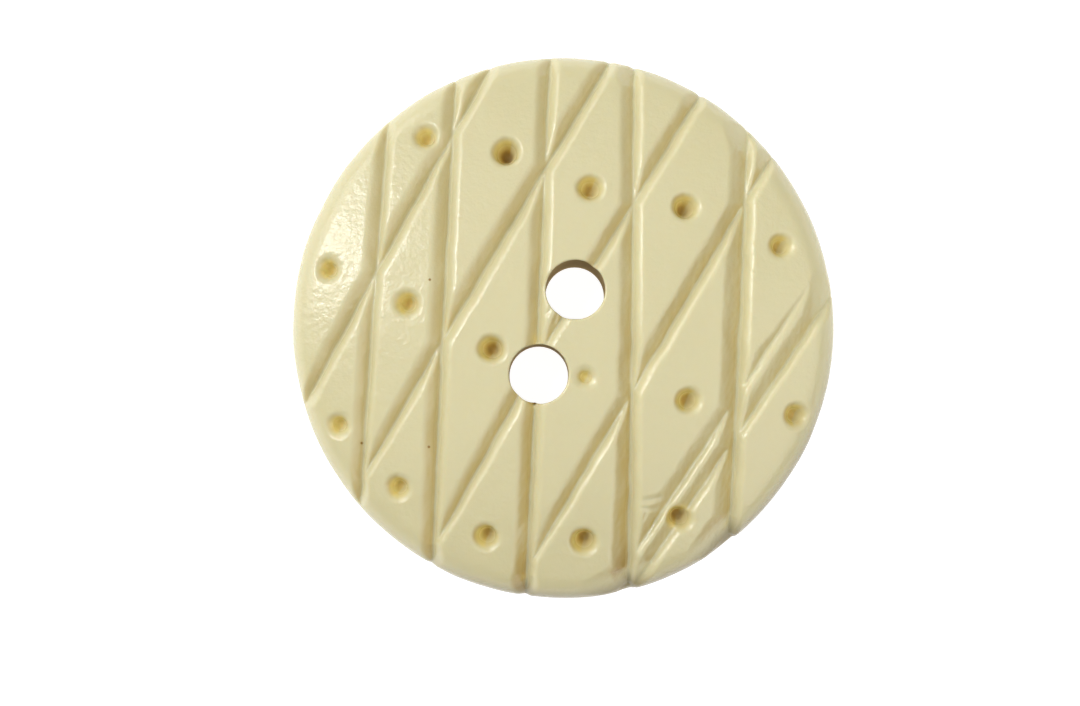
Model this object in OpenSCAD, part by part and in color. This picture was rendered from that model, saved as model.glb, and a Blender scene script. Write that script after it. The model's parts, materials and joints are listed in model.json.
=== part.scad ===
// Carved two-hole sew-on button, turned and carved from one slab of bone.
// Units are millimetres. +Z points out of the carved face, +Y runs up the
// face, and the origin is the centre of the flat back.

/* [Disc] */
// Diameter of the disc, 32 ligne
disc_d = 20.3; // [20.3, 22, 24]
// Radius of the roll between the face and the edge
shoulder_r = 1.2; // [1.1:0.1:1.4]
// Height of the widest line of the edge above the back
edge_h = 0.4; // [0.35:0.05:0.4]
// Radius round the back's outer corner
back_round = 0.3; // [0.1:0.05:0.3]

/* [Sewing holes] */
// Diameter of both sewing holes
hole_d = 2.2; // [1.8:0.05:2.5]
// Lean of the upper hole from square, in degrees, as drilled by hand
upper_lean = 2.5; // [0:0.5:4]

/* [Carving] */
// How far a groove's left wall spreads for each millimetre of depth
wall_left = 1.2; // [1:0.05:1.4]
// How far a groove's right wall spreads for each millimetre of depth
wall_right = 0.75; // [0.75:0.25:1]
// Diameter of a pit's mouth
pit_mouth_d = 1.1; // [0.9:0.05:1.3]
// Diameter of a pit's round tip
pit_tip_d = 0.44; // [0.36:0.02:0.5]
// Depth of a pit
pit_depth = 0.66; // [0.56:0.02:0.8]

/* [Hidden] */
$fn = 96;

bone = "#e6dcb4";
dome_r = 34;                  // radius of the domed face
ref_d = 20.3;                 // disc diameter that the carving is laid out on
fit = disc_d / ref_d;         // spreads the carving over another diameter
disc_r = disc_d / 2;
shoulder_x = disc_r - shoulder_r;
crest = 21;                   // slope, in degrees, at which face and roll meet
crest_x = shoulder_x + shoulder_r * sin(crest);
crest_z = edge_h + shoulder_r * cos(crest);
dome_z = crest_z - sqrt(dome_r * dome_r - crest_x * crest_x);
thick = dome_z + dome_r;      // at the centre of the dome, 2.84 as drawn
over = 1.2;                   // how far cutters stand proud of the face
pit_over = 0.4;               // the same for the pits' cutters
lead_in = 0.25;               // how far a run-out starts within its groove

// Centres of the sewing holes on the face.
upper_hole = [0.43, 1.29];
lower_hole = [-0.92, -1.82];

// Grooves, each cut in one stroke of a V tool. A row is the low end, the
// high end, the depth at the low end, at mid stroke and at the high end, the
// height at which the low and the high end leave the edge of the disc, or 0
// for an end that stops on the face, and how far the hand leans the tool over:
// at 1 the walls spread as set above, and more widens the left wall and
// narrows the right one.
upright_cuts = [
    [[-7.80, -10.19], [-6.35, 10.10], [0.42, 0.43, 0.40], [0.60, 0.65], 1.40],
    [[-4.92, -10.15], [-3.97, 10.09], [0.44, 0.48, 0.42], [0.46, 0.55], 1.22],
    [[-1.42, -10.34], [-0.46, 10.28], [0.52, 0.44, 0.44], [0.40, 0.60], 1.05],
    [[ 2.40, -10.34], [ 2.66, 10.28], [0.64, 0.46, 0.46], [0.25, 0.50], 1.00],
    [[ 6.10,  -9.97], [ 7.02,  9.90], [0.50, 0.52, 0.42], [0.35, 0.60], 1.00],
];
slanting_cuts = [
    [[-10.05, -3.70], [-2.18, 10.65], [0.44, 0.44, 0.44], [0.60, 0.55], 1.28],
    [[ -7.57, -5.85], [ 1.96, 10.26], [0.30, 0.48, 0.44], [0, 0.50], 1.12],
    [[ -0.92, -1.18], [ 5.78,  9.75], [0.30, 0.42, 0.46], [0, 0.50], 0.95],
    [[ -4.87, -8.37], [-1.09, -1.61], [0.26, 0.40, 0.44], [0, 0], 1.00],
    [[ -1.25, -8.84], [ 8.51,  7.56], [0.28, 0.44, 0.42], [0, 0.60], 1.00],
    [[  2.53, -8.62], [ 9.30,  1.77], [0.30, 0.34, 0.05], [0, 0], 1.00],
    [[  2.36, -10.04], [10.35, 1.65], [0.40, 0.38, 0.42], [0.45, 0.60], 1.00],
];

// Pits. A row is the pit's centre on the face and its depth as a share of
// the full depth.
pits = [
    [-8.75,  2.12, 0.8], [-5.12,  7.05, 0.9], [-2.12,  6.44, 1.5],
    [ 0.98,  5.07, 1.2], [ 4.53,  4.39, 1.2], [ 8.12,  2.98, 0.9],
    [-5.80,  0.79, 1.0], [-2.66, -0.89, 1.3], [ 0.80, -1.94, 0.6],
    [ 4.60, -2.80, 1.1], [ 8.68, -3.33, 1.0], [-8.36, -3.71, 0.8],
    [-6.12, -6.01, 0.9], [-2.86, -7.83, 1.1], [ 0.77, -8.00, 1.2],
    [ 4.32, -7.15, 1.3],
];

// Height of the dome, carried on past the shoulder, above point p.
function dome_h(p) = dome_z + sqrt(dome_r * dome_r - p * p);

// Distance along unit vector u from point p, forwards, to radius r.
function reach(p, u, r) = -(p * u) + sqrt(pow(p * u, 2) - p * p + r * r);

// Centre of the circle through three points of a plane.
function circle_centre(a, b, c) =
    let (d = 2 * (a.x * (b.y - c.y) + b.x * (c.y - a.y) + c.x * (a.y - b.y)))
    [(a * a * (b.y - c.y) + b * b * (c.y - a.y) + c * c * (a.y - b.y)) / d,
     (a * a * (c.x - b.x) + b * b * (a.x - c.x) + c * c * (b.x - a.x)) / d];

// Half of the section of the turned slab, before its face is domed: a flat
// back, a rounded edge, and a cone that clears the dome.
module slab_section() {
    translate([disc_r - back_round, back_round]) circle(r = back_round);
    square([disc_r - back_round, edge_h]);
    translate([0, back_round]) square([disc_r, edge_h - back_round]);
    translate([shoulder_x, edge_h]) circle(r = shoulder_r);
    polygon([[0, 0], [shoulder_x, 0], [crest_x, crest_z],
             [0, crest_z + crest_x * tan(crest)]]);
}

module blank() {
    intersection() {
        translate([0, 0, dome_z]) sphere(r = dome_r, $fn = 360);
        rotate_extrude($fn = 180)
            intersection() {
                slab_section();
                square([disc_r, 2 * thick]);
            }
    }
}

// One stroke of the V tool from low to high, its point on the arc that has
// the three depths below the dome, and its walls spreading by left and right.
// It ends square, past the rim or in the groove that it runs into.
module v_cut(low, high, depth, left, right) {
    run = norm(high - low);
    mid = (low + high) / 2;
    heel = [0, dome_h(low) - depth[0]];
    waist = [run / 2, dome_h(mid) - depth[1]];
    toe = [run, dome_h(high) - depth[2]];
    c = circle_centre(heel, waist, toe);
    tip_r = norm(waist - c);
    rim_r = tip_r + over;
    from = atan2(toe.y - c.y, toe.x - c.x);
    to = atan2(heel.y - c.y, heel.x - c.x);
    translate([low.x, low.y, 0])
        rotate([0, 0, atan2(high.y - low.y, high.x - low.x)])
            translate([c.x, 0, c.y])
                rotate([90, 0, 0])
                    rotate_extrude(start = from, angle = to - from, $fn = 360)
                        polygon([[tip_r, 0],
                                 [rim_r, over * right],
                                 [rim_r, -over * left]]);
}

// Where a stroke leaves the disc, the tool tips over the edge. This cuts from
// the crest of the roll, where the stroke is depth deep, down to exit_h on the
// edge. The stroke passes p and leaves along unit vector u.
module run_out(p, u, depth, exit_h, left, right) {
    crest_t = reach(p, u, crest_x);
    fall = crest_z - depth - exit_h;
    run = reach(p, u, disc_r) - crest_t;
    dip = atan2(fall, run);
    spread = over / cos(dip);
    start = p + crest_t * u;
    translate([start.x, start.y, crest_z - depth])
        rotate([0, 0, atan2(u.y, u.x)])
            rotate([0, dip, 0])
                translate([-lead_in, 0, 0])
                    rotate([90, 0, 90])
                        linear_extrude(height = lead_in + run / cos(dip) + over)
                            polygon([[0, 0], [-spread * right, over],
                                     [spread * left, over]]);
}

// A whole groove: the stroke and the ends that leave the edge.
module groove(cut) {
    low = cut[0] * fit;
    high = cut[1] * fit;
    mid = (low + high) / 2;
    u = (high - low) / norm(high - low);
    left = wall_left * cut[4];
    right = wall_right / cut[4];
    v_cut(low, high, cut[2], left, right);
    if (cut[3][0] > 0)
        run_out(mid, -u, cut[2][0], cut[3][0], right, left);
    if (cut[3][1] > 0)
        run_out(mid, u, cut[2][2], cut[3][1], left, right);
}

// A pit square to the dome, tapering from its mouth to a round tip.
module pit(centre, share) {
    deep = pit_depth * share;
    tip_r = pit_tip_d / 2;
    mouth_r = pit_mouth_d / 2;
    taper = (mouth_r - tip_r) / (deep - tip_r);
    out = asin(norm(centre) / dome_r);
    translate([0, 0, dome_z])
        rotate([0, 0, atan2(centre.y, centre.x)])
            rotate([0, out, 0])
                translate([0, 0, dome_r + tip_r - deep]) {
                    sphere(r = tip_r);
                    cylinder(r1 = tip_r, r2 = mouth_r + pit_over * taper,
                             h = deep - tip_r + pit_over);
                }
}

// A sewing hole, leaning about the middle of its mouth.
module sewing_hole(centre, lean) {
    translate([centre.x, centre.y, dome_h(centre)])
        rotate([-lean, 0, 0])
            translate([0, 0, -thick - over])
                cylinder(d = hole_d, h = thick + 2 * over);
}

module button_disc() {
    color(bone)
        difference() {
            blank();
            for (cut = concat(upright_cuts, slanting_cuts))
                groove(cut);
            for (p = pits)
                pit([p[0], p[1]] * fit, p[2]);
            sewing_hole(upper_hole * fit, upper_lean);
            sewing_hole(lower_hole * fit, 0);
        }
}

button_disc();
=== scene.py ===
import json
import math

import bpy
import numpy as np
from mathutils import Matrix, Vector
from mathutils.bvhtree import BVHTree
from mathutils.geometry import convex_hull_2d, delaunay_2d_cdt


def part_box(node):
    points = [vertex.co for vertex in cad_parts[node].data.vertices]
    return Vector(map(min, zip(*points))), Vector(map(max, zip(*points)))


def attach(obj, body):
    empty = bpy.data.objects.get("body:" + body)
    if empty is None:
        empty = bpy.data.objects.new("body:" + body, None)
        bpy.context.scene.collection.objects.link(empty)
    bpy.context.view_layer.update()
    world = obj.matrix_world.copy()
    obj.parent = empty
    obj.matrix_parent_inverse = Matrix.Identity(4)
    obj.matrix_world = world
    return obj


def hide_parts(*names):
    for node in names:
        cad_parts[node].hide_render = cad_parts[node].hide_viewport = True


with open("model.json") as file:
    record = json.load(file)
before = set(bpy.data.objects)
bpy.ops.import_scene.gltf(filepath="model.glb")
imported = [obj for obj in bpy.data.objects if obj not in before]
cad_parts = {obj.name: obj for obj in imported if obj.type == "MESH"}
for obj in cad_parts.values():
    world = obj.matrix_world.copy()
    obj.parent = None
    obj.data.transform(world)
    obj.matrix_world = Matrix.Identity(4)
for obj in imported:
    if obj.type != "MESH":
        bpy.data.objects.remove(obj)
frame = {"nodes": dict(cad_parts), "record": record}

# A carved bone button. The CAD disc gives every groove, pit and hole. This script re-cuts its
# surface much finer, with the polished edges, tool marks and pores of hand-worked bone, and
# gives it its material, light and camera. Lengths are in millimetres until a mesh is made.

MM = 0.001
NODE = "button_disc"
AWAY_FROM_WINDOW = math.radians(-22)      # the direction in the face that points away from the window; walls falling this way get painted shade
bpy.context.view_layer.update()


# ---------------------------------------------------------------- reading the CAD disc

class Bore:
    """A sewing hole: a radius and a line, which may lean."""

    def __init__(self, mount):
        self.radius = mount["dims"]["r_mm"]
        self.point = np.array(mount["pos_m"]) / MM
        self.axis = np.array(mount["axis"]) / np.linalg.norm(mount["axis"])

    def at(self, z):
        """The axis's x and y at heights z."""
        rise = (np.asarray(z, float) - self.point[2]) / self.axis[2]
        return self.point[:2] + rise[..., None] * self.axis[:2]


class Disc:
    """The CAD disc: its points, its faces for ray casts, its size and its two bores."""

    def __init__(self):
        mesh = frame["nodes"][NODE].data
        points = np.empty(len(mesh.vertices) * 3, np.float32)
        mesh.vertices.foreach_get("co", points)
        self.points = points.reshape(-1, 3).astype(float) / MM
        faces = [tuple(p.vertices) for p in mesh.polygons]
        self.tree = BVHTree.FromPolygons(self.points.tolist(), faces)
        low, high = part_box(NODE)
        self.radius = (high.x - low.x) / 2 / MM
        self.top = high.z / MM
        self.bores = [Bore(m) for m in frame["record"]["mounts"] if m["kind"] == "bore"]


class Section:
    """The disc's section before it was carved, sampled along an arc length s that runs from the
    middle of the face, over the edge, to the middle of the back. Carving only takes away, and
    the section is convex, so it is the hull of the CAD points. Points of the face are named by
    unrolled coordinates (u, v): a direction round the disc, at distance s."""

    STEP = 0.02        # spacing of the samples
    POLISH = 0.24      # width of the window that rounds off the turned corners
    ON_BACK = 0.002    # a sample below this height lies on the back

    def __init__(self, disc):
        rz = np.c_[np.hypot(disc.points[:, 0], disc.points[:, 1]), disc.points[:, 2]]
        rz = np.vstack([rz, [0, disc.top], [0, 0]])
        hull = rz[convex_hull_2d(rz.tolist())]
        hull = hull[np.argsort(-np.arctan2(hull[:, 1] - disc.top / 2, hull[:, 0]))]
        run = np.r_[0, np.cumsum(np.hypot(*np.diff(hull, axis=0).T))]
        self.s = np.arange(0, run[-1], self.STEP)
        self.r, self.z = (self.polished(np.interp(self.s, run, hull[:, k])) for k in (0, 1))
        slope = np.arctan2(np.gradient(self.z), np.gradient(self.r))
        self.normal_r, self.normal_z = -np.sin(slope), np.cos(slope)
        self.widest = self.s[np.argmax(self.r)]
        self.end = self.s[np.argmax((self.z < self.ON_BACK) & (self.s > self.widest))]

    def polished(self, line):
        window = np.hanning(int(self.POLISH / self.STEP) + 2)[1:-1]
        edge = len(window)
        out = line.copy()
        out[edge:-edge] = np.convolve(line, window / window.sum(), "same")[edge:-edge]
        return out

    def spread(self, uv):
        """Distance s of each unrolled point, and its direction round the disc."""
        s = np.hypot(uv[:, 0], uv[:, 1])
        return s, uv / np.maximum(s, 1e-9)[:, None]

    def normals(self, uv):
        s, way = self.spread(uv)
        return np.c_[way * np.interp(s, self.s, self.normal_r)[:, None],
                     np.interp(s, self.s, self.normal_z)]

    def place(self, uv, lift=0.0):
        """The 3-D points over unrolled points, raised by lift along the surface's normal."""
        s, way = self.spread(uv)
        base = np.c_[way * np.interp(s, self.s, self.r)[:, None], np.interp(s, self.s, self.z)]
        return base + self.normals(uv) * np.reshape(lift, (-1, 1))

    def unroll(self, xy):
        """The unrolled points under points x, y of the face."""
        r = np.hypot(xy[:, 0], xy[:, 1])
        face = self.s <= self.widest
        return xy * (np.interp(r, self.r[face], self.s[face]) / np.maximum(r, 1e-9))[:, None]


# ---------------------------------------------------------------- relief as a fine raster

class Raster:
    """A square raster over the unrolled face, with blurs, noise and sampling."""

    STEP = 0.03

    def __init__(self, reach, seed):
        self.n = 2 * int(reach / self.STEP + 6)
        self.axis = (np.arange(self.n) - (self.n - 1) / 2) * self.STEP
        self.v, self.u = np.meshgrid(self.axis, self.axis, indexing="ij")
        self.s = np.hypot(self.u, self.v)
        self.uv = np.c_[self.u.ravel(), self.v.ravel()]
        freq = np.fft.fftfreq(self.n, self.STEP)
        self.fy, self.fx = np.meshgrid(freq, np.fft.rfftfreq(self.n, self.STEP), indexing="ij")
        self.f2 = self.fx ** 2 + self.fy ** 2
        self.random = np.random.default_rng(seed)

    def filtered(self, field, response):
        return np.fft.irfft2(np.fft.rfft2(field) * response, s=field.shape)

    def blur(self, field, sigma):
        return self.filtered(field, np.exp(-2 * (math.pi * sigma) ** 2 * self.f2))

    def noise(self, size, stretch=1.0, angle=0.0):
        """Smooth noise of unit spread, with features about size across, longer by stretch along angle."""
        along = self.fx * math.cos(angle) + self.fy * math.sin(angle)
        across = self.fy * math.cos(angle) - self.fx * math.sin(angle)
        f = np.sqrt((along * stretch) ** 2 + across ** 2) * size
        field = self.filtered(self.random.standard_normal(self.s.shape), f * np.exp(-2 * f ** 2))
        return field / field.std()

    def sample(self, field, uv):
        """Bilinear samples of a field at unrolled points."""
        x = np.clip(uv[:, 0] / self.STEP + (self.n - 1) / 2, 0, self.n - 1.001)
        y = np.clip(uv[:, 1] / self.STEP + (self.n - 1) / 2, 0, self.n - 1.001)
        i, j = y.astype(int), x.astype(int)
        a, b = y - i, x - j
        return ((1 - a) * ((1 - b) * field[i, j] + b * field[i, j + 1])
                + a * ((1 - b) * field[i + 1, j] + b * field[i + 1, j + 1]))


def smooth_step(x, low, high):
    t = np.clip((x - low) / (high - low), 0, 1)
    return t * t * (3 - 2 * t)


def cad_relief(disc, section, raster):
    """How far the CAD surface lies from the turned section, along its normal: 0 on the untouched
    face and negative where it is carved. The bores are filled over from their surroundings."""
    STAND_OFF, REACH = 0.3, 2.0      # where the rays start above the section, and their length
    CAD_SLACK = 0.015                # the facets of the CAD face lie up to this far below it
    BORE_EDGE = 0.03                 # the strip round a bore that its rays may miss
    NEAR, FAR = 0.08, 0.5            # how widely the fill looks round: beside a wall, and inside
    TOO_FEW = 0.02                   # share of known ground below which the wider look is taken
    inside = raster.s.ravel() < section.end
    uv = raster.uv[inside]
    normals = section.normals(uv)
    starts = section.place(uv, STAND_OFF)
    cast = disc.tree.ray_cast
    hits = [cast(p, d, REACH)[3] for p, d in zip(starts.tolist(), (-normals).tolist())]
    relief = STAND_OFF - np.array([REACH if h is None else h for h in hits])
    xyz = section.place(uv)
    solid = np.ones(len(uv), bool)
    for bore in disc.bores:
        away = np.hypot(*(xyz[:, :2] - bore.at(xyz[:, 2])).T)
        solid &= away > bore.radius + BORE_EDGE
    known = np.zeros(raster.s.size)
    known[inside] = solid
    field = np.zeros(raster.s.size)
    field[inside] = np.where(solid, np.minimum(relief + CAD_SLACK, 0), 0)
    known, field = known.reshape(raster.s.shape), field.reshape(raster.s.shape)
    near, far = (raster.blur(field, width) / np.maximum(raster.blur(known, width), 1e-3)
                 for width in (NEAR, FAR))
    fill = np.where(raster.blur(known, NEAR) > TOO_FEW, near, far)
    return np.where(known > 0.5, field, fill)


class Scars:
    """Slips and chips of the carving tool: short gouges, each given by its middle as a share of
    the disc's radius, its length, width and depth, and its turn from the +u axis in degrees."""

    BETWEEN_HOLES = [(-0.055, 0.050, 0.50, 0.18, 0.080, 62), (-0.030, 0.022, 0.55, 0.16, 0.070, 70),
                     (-0.004, 0.030, 0.60, 0.17, 0.065, 48), (0.018, 0.052, 0.42, 0.14, 0.060, 55)]
    BESIDE_TWIN = [(0.325, -0.640, 0.95, 0.40, 0.075, 12), (0.315, -0.675, 0.80, 0.34, 0.065, -5),
                   (0.300, -0.700, 0.50, 0.14, 0.055, 75), (0.335, -0.735, 0.50, 0.12, 0.050, 70)]
    ON_WALL = [(0.705, 0.200, 0.22, 0.12, 0.040, 15), (0.704, 0.030, 0.18, 0.10, 0.035, 30),
               (0.690, -0.120, 0.26, 0.12, 0.040, 75), (0.180, 0.520, 0.16, 0.10, 0.030, 40)]

    def __init__(self, raster, radius):
        self.raster, self.radius = raster, radius

    def depth(self):
        total = np.zeros(self.raster.s.shape)
        for x, y, length, width, deep, turn in self.BETWEEN_HOLES + self.BESIDE_TWIN + self.ON_WALL:
            c, s = math.cos(math.radians(turn)), math.sin(math.radians(turn))
            du, dv = self.raster.u - x * self.radius, self.raster.v - y * self.radius
            along, across = du * c + dv * s, dv * c - du * s
            taper = np.clip(1 - (along / (length / 2)) ** 2, 0, 1)
            vee = np.clip(1 - np.abs(across) / (width / 2), 0, 1)
            total = np.maximum(total, deep * taper * vee)
        return total


def hand_cut(relief, section, raster, radius):
    """The same relief as a hand leaves it: wavering lines, uneven depth, nicks where a groove
    leaves the edge, polished crests, and a face that is not quite fair."""
    uv = raster.uv + 0.010 * np.c_[raster.noise(1.1).ravel(), raster.noise(1.1).ravel()]
    uv += 0.003 * np.c_[raster.noise(0.25).ravel(), raster.noise(0.25).ravel()]
    cut = raster.sample(relief, uv).reshape(relief.shape)
    cut *= 1 + 0.04 * raster.noise(1.6)

    # A groove that runs off the edge nicks the outline: what is cut at the brim carries on down
    # the edge, and fades away below it.
    BRIM, NICK = 0.35, 0.45
    brim = section.widest - BRIM
    brim_uv = raster.uv * (brim / np.maximum(raster.s, brim)).ravel()[:, None]
    brim_cut = raster.sample(cut, brim_uv).reshape(cut.shape)
    share = 1 - (1 - NICK) * smooth_step(raster.s, brim, section.widest)
    share *= 1 - smooth_step(raster.s, section.widest, section.end)
    cut = np.where(raster.s > brim, np.minimum(cut, brim_cut * share), cut)

    # Polishing turns straight walls into convex ones down to a depth of FULL. It rounds whatever
    # stands proud of the wide blur, and spares the bottoms.
    FULL, BEND, FINE, WIDE, SPARED = 0.46, 1.30, 0.020, 0.085, 0.006
    worn = -FULL * np.clip(-cut / FULL, 0, 1) ** BEND + np.minimum(cut + FULL, 0)
    cut = np.minimum(raster.blur(worn, FINE), raster.blur(worn, WIDE) + SPARED)

    # Slips and fine lines of the tool, and last the face's own unevenness.
    carved = smooth_step(-cut, 0.02, 0.12)
    cut -= raster.blur(Scars(raster, radius).depth(), 0.02)
    cut += carved * 0.0015 * raster.noise(0.14, 6, math.radians(60))
    cut += carved * 0.0015 * raster.noise(0.16, 7, math.radians(88))
    cut += 0.006 * raster.noise(2.2) + 0.0016 * raster.noise(0.55)
    return cut


# ---------------------------------------------------------------- the disc's mesh

def lattice(reach, pitch):
    """Points of a triangular lattice within reach of the middle."""
    rows = np.arange(-reach, reach, pitch * math.sqrt(3) / 2)
    points = []
    for i, y in enumerate(rows):
        x = np.arange(-reach, reach, pitch) + (i % 2) * pitch / 2
        points.append(np.c_[x, np.full(len(x), y)])
    points = np.vstack(points)
    return points[np.hypot(*points.T) < reach]


def ring(count):
    turn = np.arange(count) * 2 * math.pi / count
    return np.c_[np.cos(turn), np.sin(turn)]


def triangulate(points, loops):
    """Triangles between the first loop and the others, which are holes. Points keep their order.
    A hole is emptied within EMPTY of its radius, so some slivers stay just inside its edge."""
    EMPTY = 0.995
    edges = [(loop[i - 1], loop[i]) for loop in loops for i in range(len(loop))]
    out, _, faces, _, _, _ = delaunay_2d_cdt([Vector(p) for p in points.tolist()], edges, [], 1, 1e-7, False)
    assert len(out) == len(points), "two points of the mesh coincide"
    faces = np.array([tuple(f) for f in faces])
    a, b, c = (points[faces[:, k]] for k in range(3))
    area = (b[:, 0] - a[:, 0]) * (c[:, 1] - a[:, 1]) - (b[:, 1] - a[:, 1]) * (c[:, 0] - a[:, 0])
    faces[area < 0] = faces[area < 0][:, ::-1]
    centres = (a + b + c) / 3
    keep = np.ones(len(faces), bool)
    for loop in loops[1:]:
        middle = points[loop].mean(axis=0)
        reach = np.hypot(*(points[loop] - middle).T).min()
        keep &= np.hypot(*(centres - middle).T) > reach * EMPTY
    return faces[keep]


class Shell:
    """The mesh: face and edge in one sheet, a flat back, and the walls of the two bores. It has no
    gaps, but triangulate's slivers reach up to 0.03 mm into the bores' mouths."""

    FINE, COARSE = 0.056, 0.12       # spacing on carved edges and on smooth ground
    BUSY, CURL_WIDTH = 0.8, 0.05     # the curl, in 1/mm, that tells them apart, and its blur
    RIM_PITCH = 1.6 * COARSE         # spacing round the back's edge
    RIM_CLEAR = 0.6 * COARSE         # the free lattice keeps this far from the rim
    BORE_POINTS = 128
    BORE_RINGS = 14
    BORE_GAPS = [0, 0.008, 0.02, 0.04, 0.07, 0.11]     # of the rings round a front mouth
    BORE_CLEAR = 0.15                # the free lattice keeps this far from a bore
    MOUTH = 0.07                     # radius on the bores' front mouths
    BACK_MOUTH = 0.06                # and on their back mouths
    BACK_PITCH = 0.42                # spacing on the back
    BACK_RIM_CLEAR, BACK_BORE_CLEAR = 0.6, 0.35        # and where its lattice stops

    def __init__(self, disc, section, raster, cut):
        self.disc, self.section, self.raster, self.cut = disc, section, raster, cut
        self.points, self.faces, self.count = [], [], 0
        self.bore_faces = []
        self.rim_loop, mouth_loops = self.add_face()
        back_loops = [self.add_wall(bore, loop) for bore, loop in zip(disc.bores, mouth_loops)]
        self.add_back(back_loops)
        self.points = np.vstack(self.points)
        self.faces = np.vstack(self.faces)

    def add(self, points):
        first = self.count
        self.points.append(points)
        self.count += len(points)
        return first

    def mouth_uv(self, bore, gap):
        """A ring round a bore's mouth, gap outside its wall, in unrolled coordinates."""
        circle = ring(self.BORE_POINTS) * (bore.radius + gap)
        xy = circle + bore.at(self.disc.top)
        for _ in range(3):
            z = self.section.place(self.section.unroll(xy))[:, 2]
            xy = circle + bore.at(z)
        return self.section.unroll(xy)

    def add_face(self):
        """The face and the edge down to the back, finest where the surface curls most."""
        s = self.section
        rim = ring(int(2 * math.pi * s.end / self.RIM_PITCH)) * s.end
        mouths = [[self.mouth_uv(bore, gap) for gap in self.BORE_GAPS] for bore in self.disc.bores]
        curl = np.abs(self.raster.filtered(self.cut, -4 * math.pi ** 2 * self.raster.f2))
        curl = self.raster.blur(curl, self.CURL_WIDTH)
        ground = []
        for pitch, wanted in ((self.FINE, True), (self.COARSE, False)):
            grid = lattice(s.end - self.RIM_CLEAR, pitch)
            busy = self.raster.sample(curl, grid) > self.BUSY
            ground.append(grid[busy == wanted])
        ground = np.vstack(ground)
        for bore in self.disc.bores:
            xyz = s.place(ground)
            away = np.hypot(*(xyz[:, :2] - bore.at(xyz[:, 2])).T)
            ground = ground[away > bore.radius + self.BORE_CLEAR]
        rings = [uv for mouth in mouths for uv in mouth]
        uv = np.vstack([rim, *rings, ground])
        rim_loop = list(range(len(rim)))
        per_mouth = len(self.BORE_GAPS) * self.BORE_POINTS
        firsts = [len(rim) + k * per_mouth for k in range(len(mouths))]
        mouth_loops = [list(range(first, first + self.BORE_POINTS)) for first in firsts]
        faces = triangulate(uv, [rim_loop, *mouth_loops])
        points = s.place(uv, self.raster.sample(self.cut, uv))
        for bore in self.disc.bores:
            gap = np.hypot(*(points[:, :2] - bore.at(points[:, 2])).T) - bore.radius
            inward = np.clip(self.MOUTH - gap, 0, self.MOUTH)
            points[:, 2] -= self.MOUTH - np.sqrt(self.MOUTH ** 2 - inward ** 2)
        points[:len(rim), 2] = 0
        self.face_uv = uv
        self.add(points)
        self.faces.append(faces)
        return rim_loop, mouth_loops

    def add_wall(self, bore, top_loop):
        """Rings from the front mouth down to the back, and the triangles between them."""
        above = self.points[0][top_loop]
        circle = ring(self.BORE_POINTS)
        loops = [top_loop]
        for level in np.linspace(0, 1, self.BORE_RINGS)[1:]:
            z = above[:, 2] * (1 - level) + self.BACK_MOUTH * level
            wall = np.c_[circle * bore.radius + bore.at(z), z]
            blend = min(1, level * 4)          # the mouth's own outline fades in the top quarter
            wall[:, :2] = above[:, :2] * (1 - blend) + wall[:, :2] * blend
            loops.append(range(self.add(wall), self.count))
        for turn in (30, 60, 90):              # the rounded lip at the back
            flare = self.BACK_MOUTH * (1 - math.cos(math.radians(turn)))
            z = self.BACK_MOUTH * (1 - math.sin(math.radians(turn)))
            lip = np.c_[circle * (bore.radius + flare) + bore.at(z), np.full(len(circle), z)]
            loops.append(range(self.add(lip), self.count))
        for upper, lower in zip(loops, loops[1:]):
            first = sum(map(len, self.faces))
            self.faces.append(strip(list(upper), list(lower)))
            self.bore_faces.extend(range(first, first + len(self.faces[-1])))
        return list(loops[-1])

    def add_back(self, hole_loops):
        """The flat back, between the rim and the bores' lips."""
        known = np.vstack(self.points)
        grid = lattice(self.disc.radius - self.BACK_RIM_CLEAR, self.BACK_PITCH)
        for bore in self.disc.bores:
            grid = grid[np.hypot(*(grid - bore.at(0)).T) > bore.radius + self.BACK_BORE_CLEAR]
        loops, flat = [], []
        for loop in [self.rim_loop, *hole_loops]:
            loops.append(list(range(len(flat), len(flat) + len(loop))))
            flat.extend(loop)
        first = self.add(np.c_[grid, np.zeros(len(grid))])
        index = np.r_[flat, np.arange(first, first + len(grid))].astype(int)
        plan = np.vstack([known[flat][:, :2], grid])
        self.faces.append(index[triangulate(plan, loops)][:, ::-1])


def strip(upper, lower):
    """Triangles between two loops of the same length, facing the axis that they go round."""
    faces = []
    for i in range(len(upper)):
        j = (i + 1) % len(upper)
        faces.append((upper[i], upper[j], lower[i]))
        faces.append((upper[j], lower[j], lower[i]))
    return np.array(faces)


def add_attribute(mesh, name, values):
    mesh.attributes.new(name, "FLOAT", "POINT").data.foreach_set("value", values)


def round_dips(raster, cut):
    """1 in the pits and 0 elsewhere, with a soft edge. The product of the two curvatures is large
    in a pit, which is round, and not in a groove."""
    BROAD, SOFT = 0.26, 0.21         # blurs: wide enough to find a whole pit, and of its outline
    bend_v, bend_u = np.gradient(raster.blur(cut, BROAD), raster.STEP)
    bend_vv, bend_vu = np.gradient(bend_v, raster.STEP)
    bend_uu = np.gradient(bend_u, raster.STEP, axis=1)
    dip = np.clip(bend_uu * bend_vv - bend_vu ** 2, 0, None) * (bend_uu + bend_vv > 0)
    return smooth_step(raster.blur(smooth_step(np.sqrt(dip), 0.6, 1.1), SOFT), 0.01, 0.26)


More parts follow.
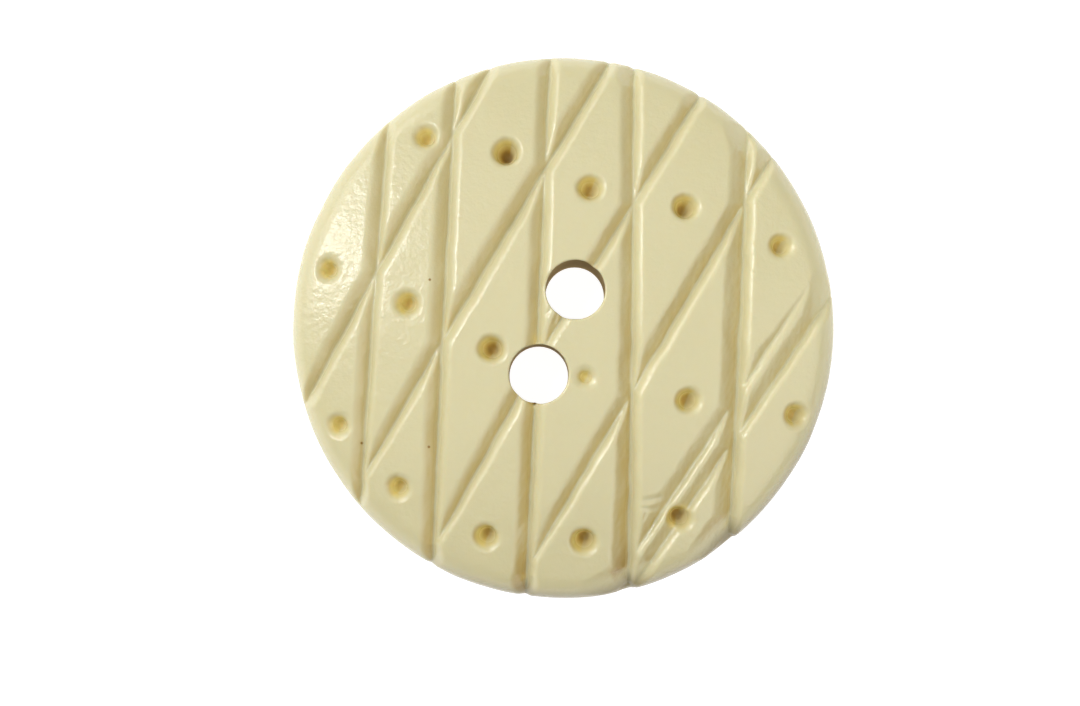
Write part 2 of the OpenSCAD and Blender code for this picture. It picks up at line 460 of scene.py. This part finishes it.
def surface_fields(section, raster, cut):
    """What the material has to know of each point of the face. The walls that fall away from the window, out
    of its light, get honey-coloured painted shade."""
    FINE, BROAD = 0.02, 0.3          # blurs: for the slope of a wall, and across a whole groove
    EDGE = 1.2, 0.2                  # the edge's painted shade begins and is full this far above its widest
    fall_v, fall_u = np.gradient(-raster.blur(cut, FINE), raster.STEP)
    return {
        "depth": -cut,
        "hollow": raster.blur(cut, BROAD) - cut,
        # how steeply the surface falls away from the window: where painted shade goes
        "shade_side": fall_u * math.cos(AWAY_FROM_WINDOW) + fall_v * math.sin(AWAY_FROM_WINDOW),
        "pit": round_dips(raster, cut),
        "edge": smooth_step(raster.s, section.widest - EDGE[0], section.widest - EDGE[1]),
    }


def make_button(disc, section):
    raster = Raster(section.end, seed=32)
    relief = cad_relief(disc, section, raster)
    cut = hand_cut(relief, section, raster, disc.radius)
    shell = Shell(disc, section, raster, cut)
    mesh = bpy.data.meshes.new("carved_button")
    mesh.from_pydata((shell.points * MM).tolist(), [], shell.faces.tolist())
    mesh.shade_smooth()
    for name, field in surface_fields(section, raster, cut).items():
        values = np.zeros(len(shell.points), np.float32)
        values[:len(shell.face_uv)] = raster.sample(field, shell.face_uv)
        add_attribute(mesh, name, values)
    mesh.materials.append(bone_material(disc))
    mesh.materials.append(bore_material())
    slots = np.zeros(len(shell.faces), np.int32)
    slots[shell.bore_faces] = 1
    mesh.polygons.foreach_set("material_index", slots)
    button = bpy.data.objects.new("carved_button", mesh)
    bpy.context.collection.objects.link(button)
    print("triangles", len(shell.faces), "faults", mesh.validate(verbose=False))
    return button


# ---------------------------------------------------------------- materials

class Nodes:
    """A material's node tree, built by short calls."""

    def __init__(self, name):
        self.material = bpy.data.materials.new(name)
        self.material.use_nodes = True
        self.tree = self.material.node_tree
        self.shader = self.tree.nodes["Principled BSDF"]

    def add(self, kind, inputs=(), **settings):
        node = self.tree.nodes.new(kind)
        for key, value in settings.items():
            setattr(node, key, value)
        for key, value in dict(inputs).items():
            self.set(node.inputs[key], value)
        return node

    def set(self, socket, value):
        if isinstance(value, bpy.types.NodeSocket):
            self.tree.links.new(value, socket)
        else:
            socket.default_value = value

    def noise(self, scale, detail, stretch=(1, 1, 1)):
        place = self.add("ShaderNodeTexCoord")
        scaled = self.add("ShaderNodeMapping", {"Vector": place.outputs["Object"], "Scale": stretch})
        noise = self.add("ShaderNodeTexNoise", {"Vector": scaled.outputs[0], "Scale": scale,
                                                "Detail": detail})
        return noise.outputs["Fac"]

    def attribute(self, name):
        return self.add("ShaderNodeAttribute", attribute_name=name).outputs["Fac"]

    def along(self, turn):
        """Distance across the face in the direction turn."""
        place = self.add("ShaderNodeTexCoord").outputs["Object"]
        way = (math.cos(turn), math.sin(turn), 0)
        node = self.add("ShaderNodeVectorMath", {0: place, 1: way}, operation="DOT_PRODUCT")
        return node.outputs["Value"]

    def ramp(self, value, low, high, out_low=0.0, out_high=1.0):
        """A smooth step from out_low, where value is low, to out_high, where it is high."""
        node = self.add("ShaderNodeMapRange", {"Value": value, "From Min": low, "From Max": high,
                                               "To Min": out_low, "To Max": out_high})
        node.interpolation_type = "SMOOTHSTEP"
        return node.outputs["Result"]

    def speck(self, x, y, radius):
        """0.9 about the point x, y of the face, fading to 0 at radius."""
        place = self.add("ShaderNodeTexCoord").outputs["Object"]
        flat = self.add("ShaderNodeVectorMath", {0: place, 1: (1, 1, 0)}, operation="MULTIPLY")
        away = self.add("ShaderNodeVectorMath", {0: flat.outputs[0], 1: (x, y, 0)}, operation="DISTANCE")
        return self.ramp(away.outputs["Value"], 0.4 * radius, radius, 0.9, 0.0)

    def times(self, a, b):
        return self.add("ShaderNodeMath", {0: a, 1: b}, operation="MULTIPLY").outputs[0]

    def mix(self, share, a, b):
        node = self.add("ShaderNodeMix", data_type="RGBA", blend_type="MIX")
        for key, value in ((0, share), (6, a), (7, b)):
            self.set(node.inputs[key], value)
        return node.outputs[2]

    def bump(self, height, distance):
        node = self.add("ShaderNodeBump", {"Height": height, "Distance": distance, "Strength": 1.0})
        return node.outputs["Normal"]


class BoneColour:
    """The colour of the polished bone, laid down in washes from the ground colour up. Most washes are
    painted shade. A wash is limited by ramps of the mesh's fields, with depths in millimetres, and of places
    on the disc."""

    IVORY = (0.680, 0.630, 0.382, 1)
    PALE = (0.684, 0.636, 0.391, 1)
    PAINTED_HONEY_SHADE = (0.540, 0.405, 0.135, 1)
    PAINTED_PIT_AMBER = (0.520, 0.340, 0.070, 1)
    UMBER_PORES_AND_SHADE = (0.270, 0.150, 0.025, 1)
    PAINTED_PIT_GLOW = (0.720, 0.590, 0.205, 1)
    PAINTED_SHADE = (0.250, 0.205, 0.105, 1)
    PORES = [(-0.487, 0.165), (-0.491, -0.443), (-0.739, -0.429)]      # shares of the disc's radius
    PORE_SIZE = 0.07 * MM

    def __init__(self, nodes, radius):
        self.n, self.radius = nodes, radius
        self.depth, self.slope, self.edge = map(nodes.attribute, ("depth", "shade_side", "edge"))
        # painted shade on the walls that face away from the window, heavier towards the lower right
        self.shade_side = nodes.times(nodes.ramp(self.slope, 0.10, 1.10), self.towards(-40, -0.8, 0.9, 0.35, 1.0))
        self.colour = nodes.mix(nodes.ramp(nodes.noise(160, 1), 0.2, 0.8), self.IVORY, self.PALE)

    def towards(self, turn, low, high, out_low, out_high):
        """A ramp across the disc in the direction turn, in degrees. Its ends are shares of the radius."""
        way = self.n.along(math.radians(turn))
        return self.n.ramp(way, low * self.radius, high * self.radius, out_low, out_high)

    def wash(self, share, tint):
        self.colour = self.n.mix(share, self.colour, tint)

    def shade_ground(self):
        """Painted shade: darker towards the window's side, against its stronger light, and towards the foot,
        and honey on the walls that face away from the window.
        """
        # painted shade, darker towards the window's side against its stronger light
        self.wash(self.towards(math.degrees(AWAY_FROM_WINDOW), -1.0, 1.0, 0.12, 0.0), self.PAINTED_SHADE)
        # painted shade, darker towards the foot
        self.wash(self.towards(-80, 0.1, 1.0, 0.0, 0.12), self.PAINTED_SHADE)
        # honey-coloured painted shade on the walls that face away from the window
        self.wash(self.shade_side, self.PAINTED_HONEY_SHADE)

    def darken_foot(self):
        """Painted shade: less light comes up to the edge at the foot, and least into the grooves' ends
        there.
        """
        # painted shade on the edge at the foot
        self.wash(self.n.times(self.edge, self.towards(-62, 0.30, 0.90, 0.0, 0.85)), self.PAINTED_SHADE)
        # umber painted shade in the grooves' ends at the foot, on walls that face away from the window
        self.wash(self.n.times(self.shade_side, self.towards(-75, 0.74, 0.97, 0.0, 0.8)), self.UMBER_PORES_AND_SHADE)

    def shade_pits(self):
        """Painted shade in the pits: yellow just inside a pit, then amber, and brown at the bottom. The half
        of the pit that faces the window gets less of the yellow and amber and so is paler, a painted light.
        At the foot, only grooves' ends are as round as pits."""
        n = self.n
        pit = n.times(n.attribute("pit"), self.towards(-80, 0.86, 0.90, 1.0, 0.0))
        facing = n.ramp(self.slope, -0.9, 0.5, 1.0, 0.0)
        pit_shade = n.times(pit, n.ramp(facing, 0.0, 1.0, 1.0, 0.30))
        # yellow, then amber, painted shade inside a pit, less on the half that faces the window
        self.wash(n.times(pit_shade, n.ramp(self.depth, -0.02, 0.22)), self.PAINTED_PIT_GLOW)
        self.wash(n.times(pit_shade, n.ramp(self.depth, 0.30, 0.85)), self.PAINTED_PIT_AMBER)
        # brown painted shade at a pit's bottom
        self.wash(n.times(pit, n.ramp(self.depth, 0.60, 1.10, 0.0, 0.9)), self.UMBER_PORES_AND_SHADE)

    def dot_pores(self):
        for x, y in self.PORES:
            self.wash(self.n.speck(x * self.radius, y * self.radius, self.PORE_SIZE), self.UMBER_PORES_AND_SHADE)


def bone_material(disc):
    """Ivory bone: glossy where it could be polished, raw in the hollows, with a fine peel."""
    n = Nodes("polished_bone")
    bone = BoneColour(n, disc.radius * MM)
    bone.shade_ground()
    bone.darken_foot()
    bone.shade_pits()
    bone.dot_pores()
    shader = n.shader.inputs
    n.set(shader["Base Color"], bone.colour)
    gloss = n.ramp(n.noise(1100, 3), 0.25, 0.75, 0.21, 0.27)
    raw = n.ramp(n.attribute("hollow"), 0.10, 0.24, 0.0, 0.50)
    n.set(shader["Roughness"], n.add("ShaderNodeMath", {0: gloss, 1: raw}).outputs[0])
    n.set(shader["Normal"], n.bump(n.noise(5200, 3), 0.018 * MM))
    shader["Subsurface Weight"].default_value = 0.6
    shader["Subsurface Radius"].default_value = (1.0, 0.75, 0.50)
    shader["Subsurface Scale"].default_value = 0.16 * MM
    shader["IOR"].default_value = 1.54
    return n.material


def bore_material():
    """The raw, unpolished wall of a sewing hole, painted dark brown for the shade inside the hole."""
    n = Nodes("drilled_bone")
    bore_mottle = n.noise(900, 3, stretch=(1, 1, 0.3))
    # dark brown painted shade on the hole's wall, mottled
    n.set(n.shader.inputs["Base Color"], n.mix(bore_mottle, (0.30, 0.21, 0.085, 1), (0.44, 0.33, 0.15, 1)))
    n.shader.inputs["Roughness"].default_value = 0.85
    n.shader.inputs["Specular IOR Level"].default_value = 0.05
    return n.material


def floor_material():
    n = Nodes("pale_floor")
    grain = n.noise(40, 3)
    n.set(n.shader.inputs["Base Color"], n.mix(grain, (0.34, 0.34, 0.34, 1), (0.36, 0.36, 0.36, 1)))
    n.shader.inputs["Roughness"].default_value = 0.9
    n.shader.inputs["Specular IOR Level"].default_value = 0.1
    n.shader.inputs["Emission Color"].default_value = (1, 1, 1, 1)
    n.shader.inputs["Emission Strength"].default_value = 0.92
    return n.material


# ---------------------------------------------------------------- stage, light and camera

def make_floor():
    mesh = bpy.data.meshes.new("floor")
    half = 0.6
    corners = [(-half, -half, 0), (half, -half, 0), (half, half, 0), (-half, half, 0)]
    mesh.from_pydata(corners, [], [(0, 1, 2, 3)])
    floor = bpy.data.objects.new("floor", mesh)
    bpy.context.collection.objects.link(floor)
    mesh.materials.append(floor_material())


def direction(azimuth, elevation):
    """A unit vector: azimuth turns from +X towards +Y."""
    a, e = math.radians(azimuth), math.radians(elevation)
    return Vector((math.cos(a) * math.cos(e), math.sin(a) * math.cos(e), math.sin(e)))


def make_light(name, azimuth, elevation, distance, size, radiance, colour=(1, 1, 1)):
    """A rectangular light of an even radiance, facing the object."""
    data = bpy.data.lights.new(name, "AREA")
    data.shape = "RECTANGLE"
    data.size, data.size_y = size
    data.energy = radiance * math.pi * size[0] * size[1]
    data.color = colour
    light = bpy.data.objects.new(name, data)
    light.visible_camera = False
    towards = direction(azimuth, elevation)
    light.location = towards * distance
    light.rotation_euler = towards.to_track_quat("Z", "Y").to_euler()
    bpy.context.collection.objects.link(light)


def light_scene():
    make_light("window", 157, 50, 0.80, (0.14, 0.28), 18.5)
    make_light("bright_wall", 148, 26, 0.90, (0.90, 0.50), 2.9)
    make_light("ceiling", 80, 88, 0.70, (0.80, 0.80), 0.88)
    make_light("card", -22, 42, 0.50, (0.50, 0.35), 1.75, (1.0, 0.95, 0.86))
    world = bpy.data.worlds.new("studio")
    world.use_nodes = True
    world.node_tree.nodes["Background"].inputs["Color"].default_value = (1, 1, 1, 1)
    world.node_tree.nodes["Background"].inputs["Strength"].default_value = 0.20
    bpy.context.scene.world = world
    bpy.context.scene.view_settings.view_transform = "Standard"


def make_camera(disc, section):
    """Almost straight above, a little from below the disc's foot. The view is four disc radii
    wide at the height of the disc's widest line, and its middle lies low left of the disc's."""
    VIEW_WIDTH, AIM, ELEVATION, DISTANCE = 4.0, (-0.086, -0.095), 88, 110
    radius = disc.radius * MM
    data = bpy.data.cameras.new("camera")
    data.sensor_width = 36
    data.lens = data.sensor_width * DISTANCE * MM / (VIEW_WIDTH * radius)
    data.clip_start, data.clip_end = 0.01, 10
    camera = bpy.data.objects.new("camera", data)
    level = np.interp(section.widest, section.s, section.z) * MM
    aim = Vector((AIM[0] * radius, AIM[1] * radius, level))
    towards = direction(-90, ELEVATION)
    camera.location = aim + towards * DISTANCE * MM
    camera.rotation_euler = towards.to_track_quat("Z", "Y").to_euler()
    bpy.context.collection.objects.link(camera)
    bpy.context.scene.camera = camera


# ---------------------------------------------------------------- the scene

disc = Disc()
section = Section(disc)
make_camera(disc, section)
light_scene()
make_floor()

button = make_button(disc, section)
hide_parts(NODE)
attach(button, "root")
